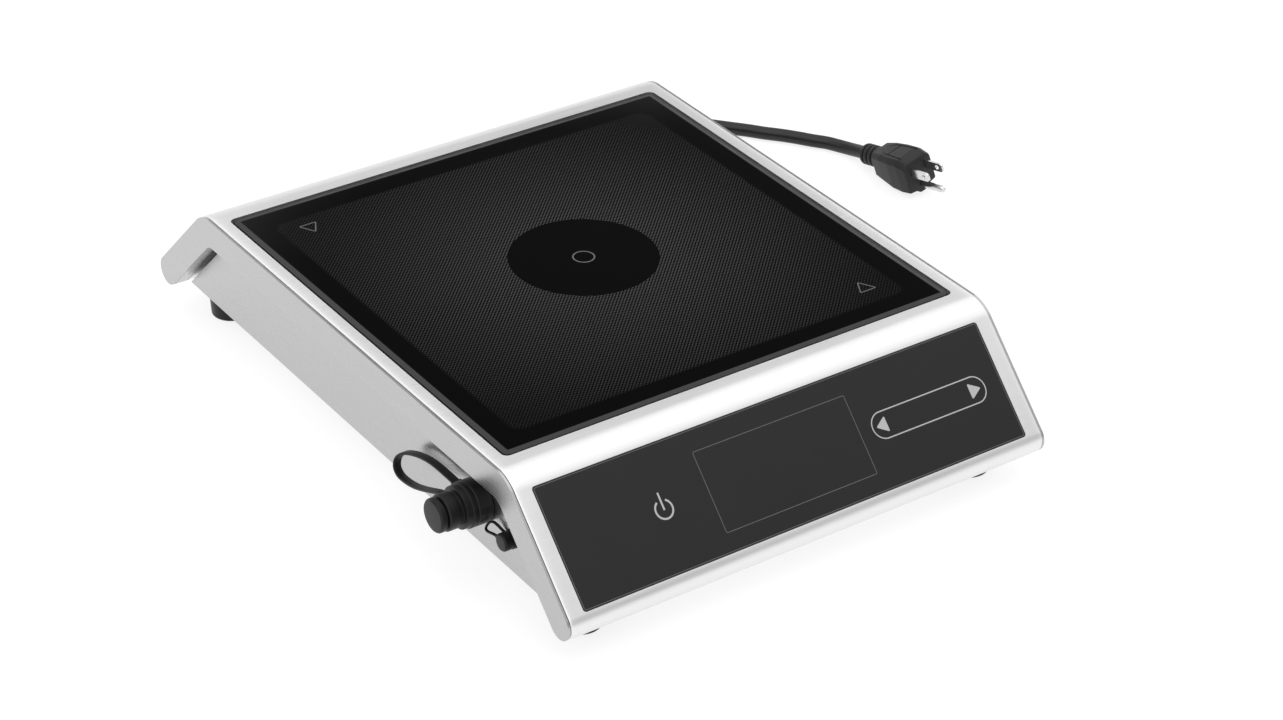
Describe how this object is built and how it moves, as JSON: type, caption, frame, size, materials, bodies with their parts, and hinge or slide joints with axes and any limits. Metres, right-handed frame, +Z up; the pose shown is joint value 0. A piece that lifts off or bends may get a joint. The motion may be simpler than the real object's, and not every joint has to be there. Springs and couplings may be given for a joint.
{
  "type": "countertop induction cooktop",
  "caption": "Single-zone countertop induction cooktop: stainless shell with sloped ends, black glass, sloped touch panel, probe socket with cap, and a grounded mains cord.",
  "frame": {"origin": "floor level, at the centre of the box over the body and its probe cap, without the mains cord and plug", "axes": "+Z up out of the cooking surface; +Y towards the rear, where the mains cord leaves; +X to the right of a user at the touch panel"},
  "size_m": [0.5125, 0.5068, 0.089],
  "materials": {
    "steel": "satin",
    "zinc": "satin",
    "cook_glass": "gloss",
    "control_glass": "gloss",
    "rubber": "matte",
    "plastic": "satin",
    "board": "satin",
    "copper": "satin",
    "ferrite": "matte",
    "aluminium": "satin",
    "silicone": "matte",
    "brass": "polished",
    "film": "gloss"
  },
  "bodies": {
    "cooktop": {"top_cover": "steel", "side_plate_left": "steel", "side_plate_right": "steel", "base_pan": "steel", "glass_seal": "silicone", "glass_sensor": "silicone", "glass_top": "cook_glass", "glass_frame": "zinc", "control_glass": "control_glass", "control_frame": "plastic", "display_module": "plastic", "control_board": "board", "power_board": "board", "probe_socket": "plastic", "service_socket": "plastic", "probe_socket_nut": "brass", "service_socket_nut": "brass", "probe_strap": "rubber", "service_strap": "rubber", "coil_tray": "plastic", "coil_post_1": "zinc", "coil_post_2": "zinc", "coil_post_3": "zinc", "induction_coil": "copper", "mains_choke": "copper", "ferrite_bar_1": "ferrite", "ferrite_bar_2": "ferrite", "ferrite_bar_3": "ferrite", "ferrite_bar_4": "ferrite", "ferrite_bar_5": "ferrite", "ferrite_bar_6": "ferrite", "heatsink": "aluminium", "capacitor_1": "film", "capacitor_2": "film", "terminal_block": "plastic", "fan_frame": "plastic", "foot_front_left": "rubber", "foot_front_right": "rubber", "foot_rear_left": "rubber", "foot_rear_right": "rubber", "foot_screw_front_left": "zinc", "foot_screw_front_right": "zinc", "foot_screw_rear_left": "zinc", "foot_screw_rear_right": "zinc", "cord_strain_relief": "rubber", "mains_cord_lead": "rubber", "mains_cord": "rubber", "mains_cord_hank": "rubber", "plug_body": "rubber", "gland_nut": "plastic", "plug_blade_left": "brass", "plug_blade_right": "brass", "plug_ground_pin": "brass"},
    "probe_cap": {"probe_cap": "rubber"},
    "service_cap": {"service_cap": "rubber"},
    "fan_rotor": {"fan_rotor": "plastic"}
  },
  "joints": [
    {"name": "probe_cap_pull", "type": "slide", "parent": "cooktop", "child": "probe_cap", "axis": [-1, 0, 0], "range_m": [0, 0.012], "deforming": ["probe_strap"]},
    {"name": "service_cap_pull", "type": "slide", "parent": "cooktop", "child": "service_cap", "axis": [-1, 0, 0], "range_m": [0, 0.004], "deforming": ["service_strap"]},
    {"name": "fan_spin", "type": "hinge", "parent": "cooktop", "child": "fan_rotor", "pos_m": [0.09635, 0.01, 0.034], "axis": [0, 0, 1], "continuous": true}
  ]
}
